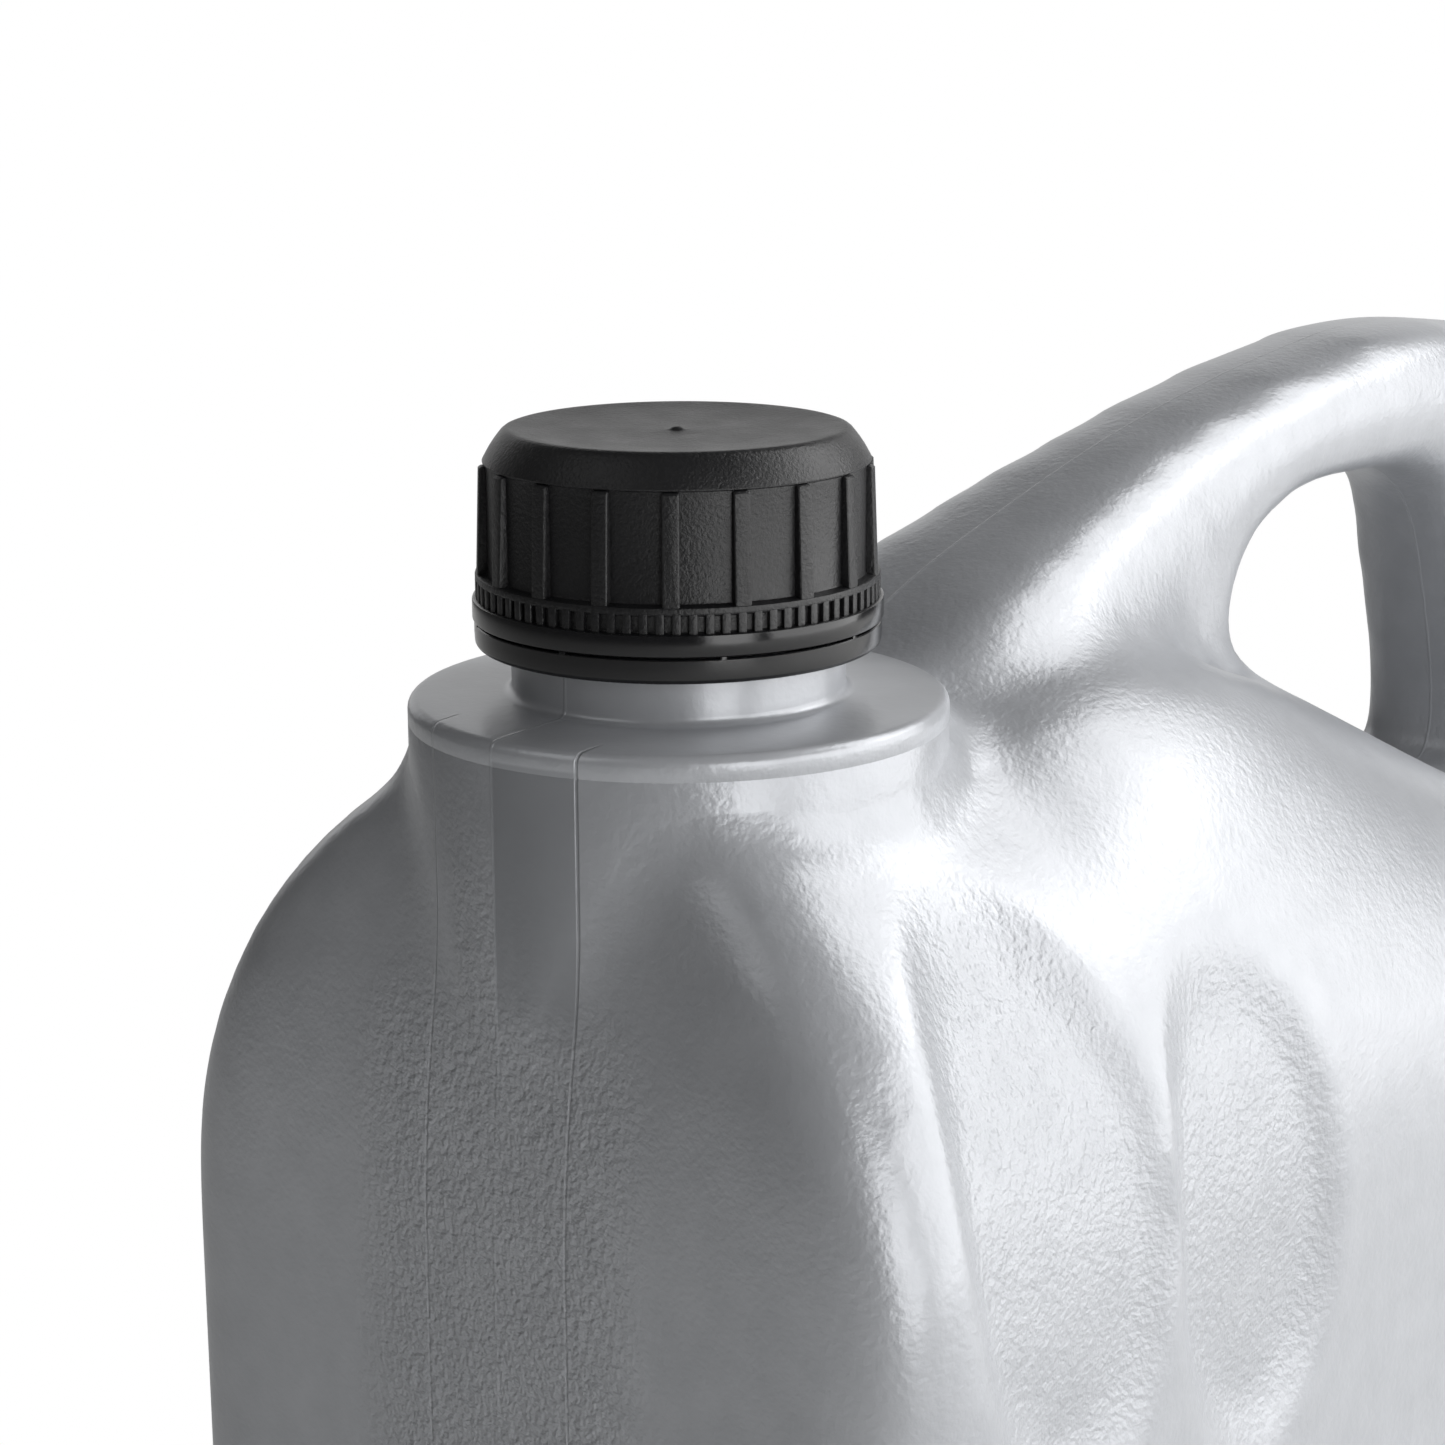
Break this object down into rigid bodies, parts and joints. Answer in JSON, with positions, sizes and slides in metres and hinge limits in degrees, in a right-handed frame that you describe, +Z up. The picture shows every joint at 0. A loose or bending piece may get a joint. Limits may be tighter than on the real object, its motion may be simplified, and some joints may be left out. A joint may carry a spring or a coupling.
{
  "type": "oil canister",
  "caption": "Blow-moulded plastic oil canister with a moulded-in top handle, a ribbed screw cap, a tamper-evident band and a sealing wad.",
  "frame": {"origin": "under the middle of the foot, on the surface that the canister stands on", "axes": "+Z up, +X from the neck towards the back of the handle, +Y across the canister"},
  "size_m": [0.25, 0.12, 0.2491],
  "materials": {
    "can": "silver-pigmented blow-moulded polyethylene with a fine blasted grain",
    "cap": "black moulded polypropylene with a spark-eroded grain",
    "band": "black moulded polypropylene, polished",
    "board": "white foamed polyethylene",
    "foil": "plain aluminium foil facing"
  },
  "bodies": {
    "can": {"can_body": "can"},
    "wad": {"liner_board": "board", "liner_foil": "foil"},
    "closure": {"cap": "cap"},
    "band": {"tamper_band": "band"}
  },
  "joints": [
    {"name": "cap_lift", "type": "slide", "parent": "can", "child": "wad", "axis": [0, 0, 1], "range_m": [0, 0.0074]},
    {"name": "cap_turn", "type": "hinge", "parent": "wad", "child": "closure", "pos_m": [-0.092, 0, 0.227], "axis": [0, 0, 1], "range_deg": [0, 630]},
    {"name": "band_spin", "type": "hinge", "parent": "can", "child": "band", "pos_m": [-0.092, 0, 0.225], "axis": [0, 0, 1], "continuous": true}
  ],
  "couplings": [
    {"joint": "cap_lift", "follows": "cap_turn", "m_per_rad": 0.00066845}
  ]
}
